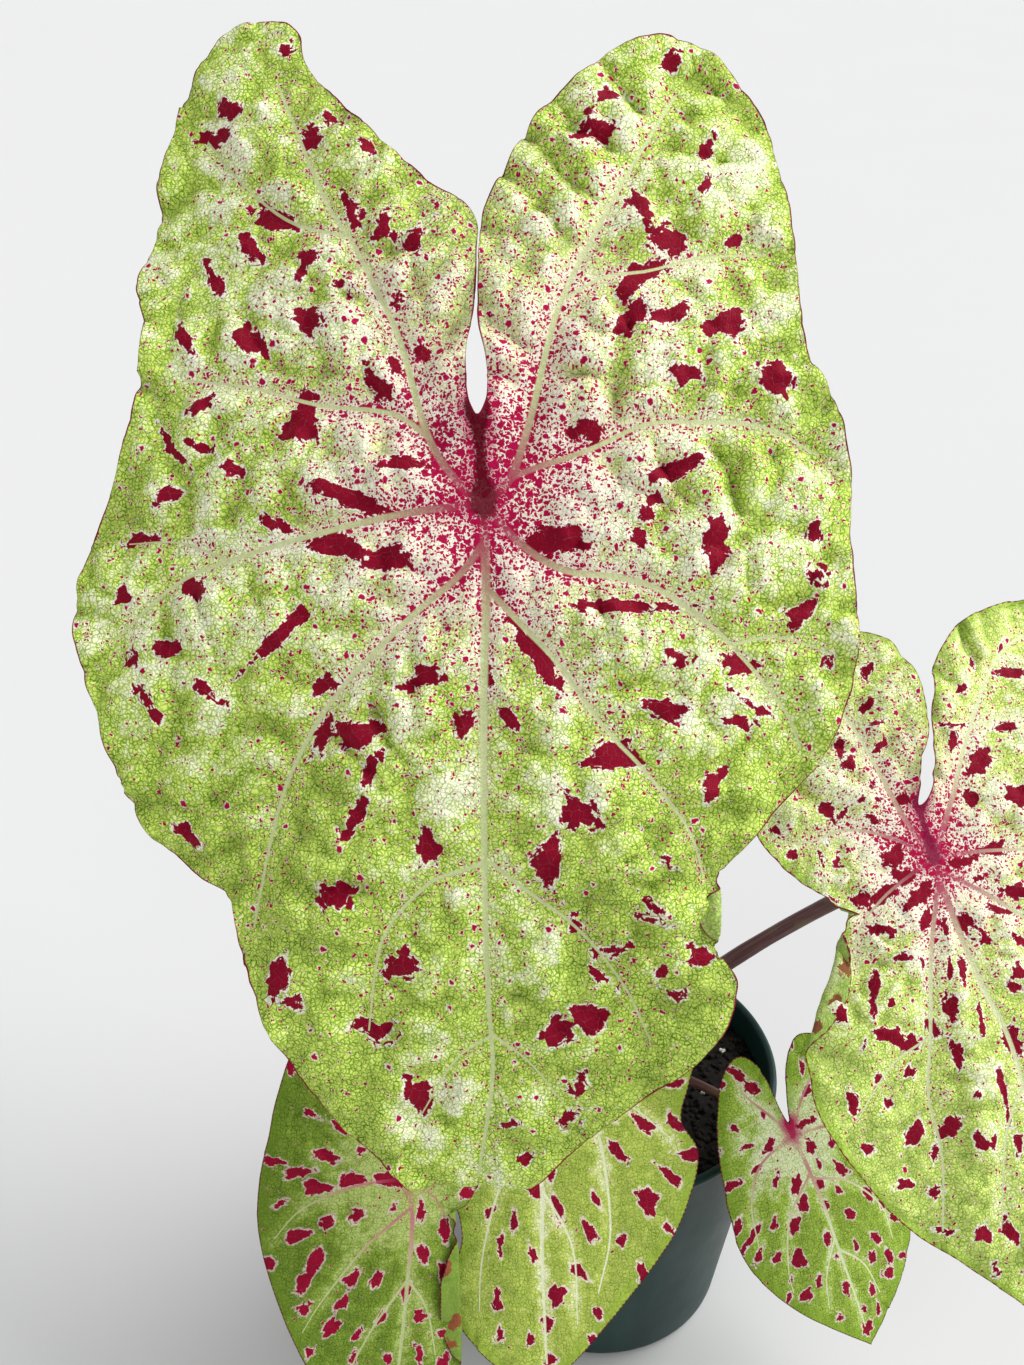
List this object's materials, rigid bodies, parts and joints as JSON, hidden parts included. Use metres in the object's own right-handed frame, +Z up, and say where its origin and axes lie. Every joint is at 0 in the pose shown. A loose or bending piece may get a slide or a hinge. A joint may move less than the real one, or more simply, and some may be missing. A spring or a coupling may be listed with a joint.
{
  "type": "potted caladium",
  "caption": "Potted caladium: broad heart-shaped leaves with waved margins on arching stalks, growing from a tuber in soil in a small tapered nursery pot.",
  "frame": {"origin": "centre of the pot's flat underside, on the bench", "axes": "+Z up out of the pot, -Y toward the side that the big leaf faces, +X to the right as seen from that side"},
  "size_m": [0.2639, 0.1622, 0.3812],
  "materials": {
    "pot_plastic": "satin dark green nursery plastic",
    "potting_soil": "loose dark peat mix with perlite",
    "tuber_skin": "dull brown skin",
    "leaf_blade": "satin leaf, pale green with crimson spots",
    "leaf_stalk": "satin purple-brown stalk"
  },
  "bodies": {
    "root": {"pot": "pot_plastic", "soil": "potting_soil", "tuber": "tuber_skin", "leaf_front": "leaf_blade", "leaf_right": "leaf_blade", "leaf_small_right": "leaf_blade", "leaf_small_front": "leaf_blade", "leaf_small_left": "leaf_blade", "leaf_front_stalk": "leaf_stalk", "leaf_right_stalk": "leaf_stalk", "leaf_small_right_stalk": "leaf_stalk", "leaf_small_front_stalk": "leaf_stalk", "leaf_small_left_stalk": "leaf_stalk"}
  },
  "joints": []
}
